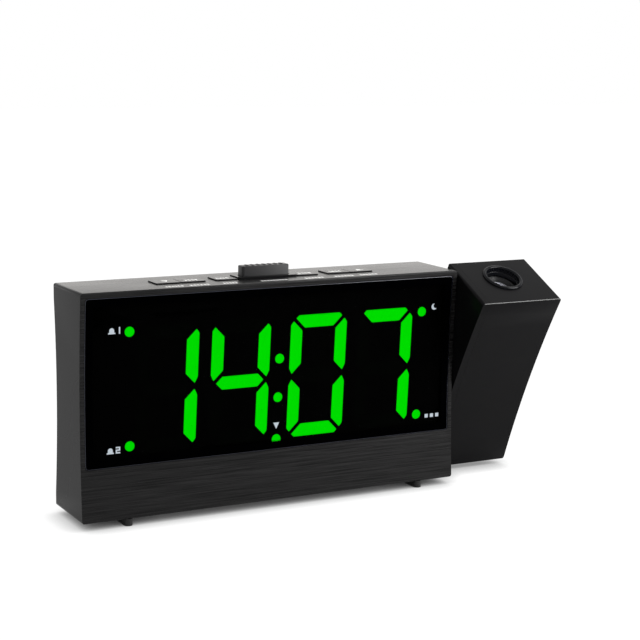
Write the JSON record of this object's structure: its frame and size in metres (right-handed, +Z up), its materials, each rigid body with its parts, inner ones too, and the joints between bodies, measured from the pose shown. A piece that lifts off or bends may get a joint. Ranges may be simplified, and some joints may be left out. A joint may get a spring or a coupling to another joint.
{
  "type": "projection alarm clock",
  "caption": "Wide desk alarm clock with a large lit four-digit display, a row of keys with a raised snooze block, and a tilting projector head at its right end.",
  "frame": {"origin": "on the floor plane of the feet, under the middle of the whole clock and in line with the head's pivot", "axes": "+X to the right seen from the front, from the body to the projector head; +Y from the display to the back; +Z up"},
  "size_m": [0.1884, 0.0598, 0.0889],
  "materials": {
    "shell_plastic": "fine satin moulding, brushed on the front chin and the top",
    "head_plastic": "satin",
    "key_plastic": "satin",
    "foot_plastic": "satin",
    "window_plastic": "polished smoked sheet",
    "reflector_plastic": "dull black",
    "lit_resin": "lit, even",
    "dark_resin": "unlit, smoked",
    "lit_mark": "lit, even",
    "circuit_board": "solder mask",
    "chip_resin": "moulded",
    "light_chip": "clear resin over yellow",
    "can_sleeve": "sleeved can",
    "steel": "zinc plated",
    "pressed_steel": "dark zinc plate",
    "cone_paper": "pressed paper",
    "magnet": "ferrite under a plate",
    "jack_plastic": "moulded",
    "cell_steel": "bright nickel",
    "contact_brass": "bare",
    "bush_plastic": "natural acetal",
    "tube_metal": "turned",
    "lens_glass": "coated",
    "slide_glass": "printed",
    "lamp_resin": "tinted clear"
  },
  "bodies": {
    "body": {"front_housing": "shell_plastic", "rear_cover": "shell_plastic", "display_window": "window_plastic", "display_frame": "reflector_plastic", "digit_hour_tens": "lit_resin", "digit_hour_units": "lit_resin", "digit_minute_tens": "lit_resin", "digit_minute_units": "lit_resin", "segments_unlit": "dark_resin", "dots_lit": "lit_resin", "marks_lit": "lit_mark", "display_board": "circuit_board", "display_chips": "light_chip", "main_board": "circuit_board", "board_chips": "chip_resin", "capacitors": "can_sleeve", "board_header": "chip_resin", "key_board": "circuit_board", "key_switches": "chip_resin", "snooze_collar": "shell_plastic", "speaker_basket": "pressed_steel", "speaker_cone": "cone_paper", "speaker_magnet": "magnet", "power_jack": "jack_plastic", "power_pin": "steel", "coin_cell": "cell_steel", "cell_holder": "jack_plastic", "cell_contact": "contact_brass", "foot_left": "foot_plastic", "foot_right": "foot_plastic", "housing_screws": "steel", "inner_screws": "steel", "pivot_bush": "bush_plastic", "friction_washer": "steel"},
    "key_1_body": {"key_1": "key_plastic"},
    "key_2_body": {"key_2": "key_plastic"},
    "key_3_body": {"key_3": "key_plastic"},
    "key_4_body": {"key_4": "key_plastic"},
    "key_5_body": {"key_5": "key_plastic"},
    "key_6_body": {"key_6": "key_plastic"},
    "snooze": {"snooze_button": "key_plastic"},
    "door": {"cell_door": "shell_plastic"},
    "head": {"retaining_clip": "steel", "pivot_tube": "tube_metal", "head_case": "head_plastic", "head_cover": "head_plastic", "optics_tube": "reflector_plastic", "display_slide": "slide_glass", "condenser_lens": "lens_glass", "projector_lamp": "lamp_resin", "lamp_board": "circuit_board", "head_screws": "steel"},
    "ring": {"focus_ring": "head_plastic"},
    "lens": {"lens_cell": "reflector_plastic", "projection_lens": "lens_glass"}
  },
  "joints": [
    {"name": "head_tilt", "type": "hinge", "parent": "body", "child": "head", "pos_m": [0.0578, 0, 0.0439], "axis": [1, 0, 0], "range_deg": [-116.1, 63.9]},
    {"name": "focus_turn", "type": "hinge", "parent": "head", "child": "ring", "pos_m": [0.07625, 0.00171, 0.04474], "axis": [0, -0.4399, 0.898], "range_deg": [-120, 120]},
    {"name": "lens_focus", "type": "slide", "parent": "head", "child": "lens", "axis": [0, -0.4399, 0.898], "range_m": [-0.0012, 0.0012]},
    {"name": "key_1_press", "type": "slide", "parent": "body", "child": "key_1_body", "axis": [0, 0, -1], "range_m": [0, 0.0005], "stiffness_N_per_m": 600, "springref_m": -0.0005},
    {"name": "key_2_press", "type": "slide", "parent": "body", "child": "key_2_body", "axis": [0, 0, -1], "range_m": [0, 0.0005], "stiffness_N_per_m": 600, "springref_m": -0.0005},
    {"name": "key_3_press", "type": "slide", "parent": "body", "child": "key_3_body", "axis": [0, 0, -1], "range_m": [0, 0.0005], "stiffness_N_per_m": 600, "springref_m": -0.0005},
    {"name": "key_4_press", "type": "slide", "parent": "body", "child": "key_4_body", "axis": [0, 0, -1], "range_m": [0, 0.0005], "stiffness_N_per_m": 600, "springref_m": -0.0005},
    {"name": "key_5_press", "type": "slide", "parent": "body", "child": "key_5_body", "axis": [0, 0, -1], "range_m": [0, 0.0005], "stiffness_N_per_m": 600, "springref_m": -0.0005},
    {"name": "key_6_press", "type": "slide", "parent": "body", "child": "key_6_body", "axis": [0, 0, -1], "range_m": [0, 0.0005], "stiffness_N_per_m": 600, "springref_m": -0.0005},
    {"name": "snooze_press", "type": "slide", "parent": "body", "child": "snooze", "axis": [0, 0, -1], "range_m": [0, 0.001], "stiffness_N_per_m": 600, "springref_m": -0.0005},
    {"name": "door_slide", "type": "slide", "parent": "body", "child": "door", "axis": [0, 1, 0], "range_m": [0, 0.024]}
  ],
  "couplings": [
    {"joint": "focus_turn", "follows": "lens_focus", "rad_per_m": 1745.3}
  ]
}
